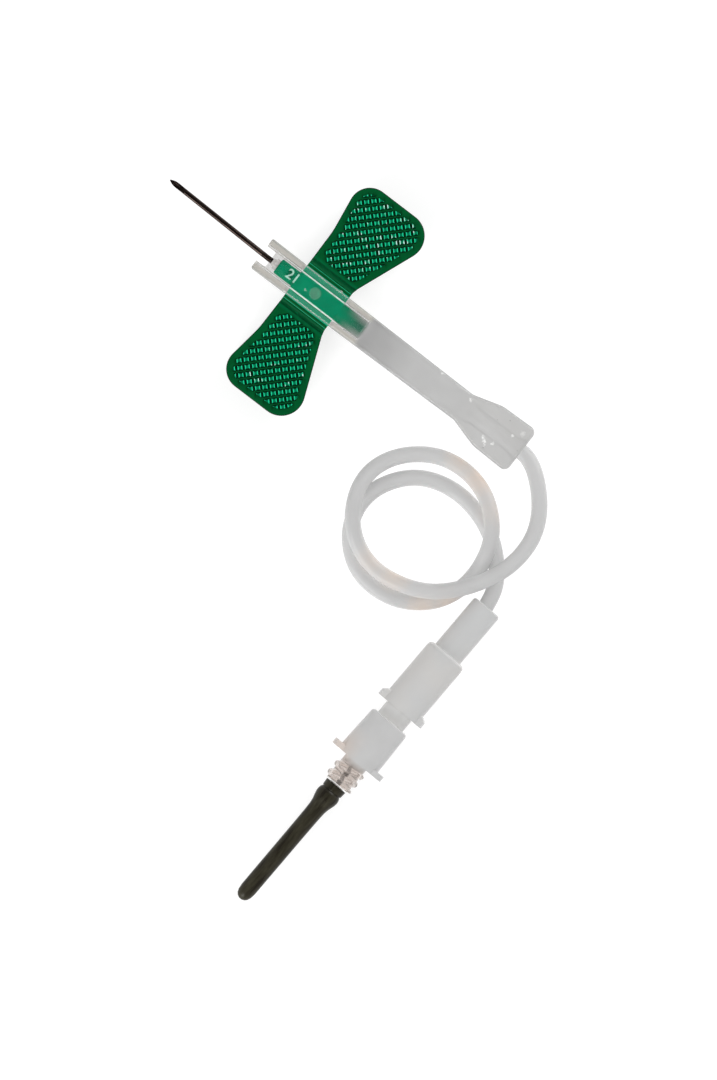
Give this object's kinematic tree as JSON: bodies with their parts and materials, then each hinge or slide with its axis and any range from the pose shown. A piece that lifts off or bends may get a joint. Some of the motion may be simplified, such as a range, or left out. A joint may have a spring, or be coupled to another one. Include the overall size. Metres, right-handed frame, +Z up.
{
  "type": "winged blood collection needle",
  "caption": "Winged steel needle in a sliding translucent guard, with a limp clear tube in two loose loops, a luer connector and a luer adapter with a rubber-sleeved rear needle.",
  "frame": {"origin": "on the surface it lies on, below the middle of the needle and guard taken together", "axes": "+X along the needle towards its tip, +Y towards the left wing, +Z up from the surface"},
  "size_m": [0.0762, 0.0925, 0.0067],
  "materials": {
    "needle_steel": "drawn and polished steel tube",
    "cured_adhesive": "clear cured adhesive",
    "clear_hub": "clear moulded plastic",
    "green_pvc": "flexible green moulding, satin",
    "milky_guard": "translucent milky moulding",
    "clear_tube": "limp clear tubing, slightly milky",
    "milky_luer": "milky translucent moulding",
    "clear_adapter": "translucent moulding, clear at its threaded end",
    "black_rubber": "soft black rubber, faint sheen"
  },
  "bodies": {
    "needle_hub": {"cannula": "needle_steel", "cannula_adhesive": "cured_adhesive", "hub_tube": "clear_hub", "wing_collar": "green_pvc", "tubing": "clear_tube", "female_luer": "milky_luer"},
    "sliding_guard": {"guard": "milky_guard"},
    "left_wing_blade": {"left_wing": "green_pvc"},
    "right_wing_blade": {"right_wing": "green_pvc"},
    "adapter": {"luer_adapter": "clear_adapter", "rear_cannula": "needle_steel", "rear_adhesive": "cured_adhesive"},
    "sleeve": {"rubber_sleeve": "black_rubber"}
  },
  "joints": [
    {"name": "guard_slide", "type": "slide", "parent": "needle_hub", "child": "sliding_guard", "axis": [1, 0, 0], "range_m": [0, 0.0193]},
    {"name": "left_wing_fold", "type": "hinge", "parent": "needle_hub", "child": "left_wing_blade", "pos_m": [0.0049, 0.00335, 0.0024], "axis": [1, 0, 0], "range_deg": [-8, 90], "stiffness_Nm_per_rad": 0.001},
    {"name": "right_wing_fold", "type": "hinge", "parent": "needle_hub", "child": "right_wing_blade", "pos_m": [0.0049, -0.00335, 0.0024], "axis": [-1, 0, 0], "range_deg": [-8, 90], "stiffness_Nm_per_rad": 0.001},
    {"name": "adapter_pull", "type": "slide", "parent": "needle_hub", "child": "adapter", "axis": [0.0506, 0.9987, 0], "range_m": [0, 0.009]},
    {"name": "sleeve_push", "type": "slide", "parent": "adapter", "child": "sleeve", "axis": [-0.0506, -0.9987, 0], "range_m": [0, 0.014], "stiffness_N_per_m": 100, "deforming": ["rubber_sleeve"]}
  ]
}
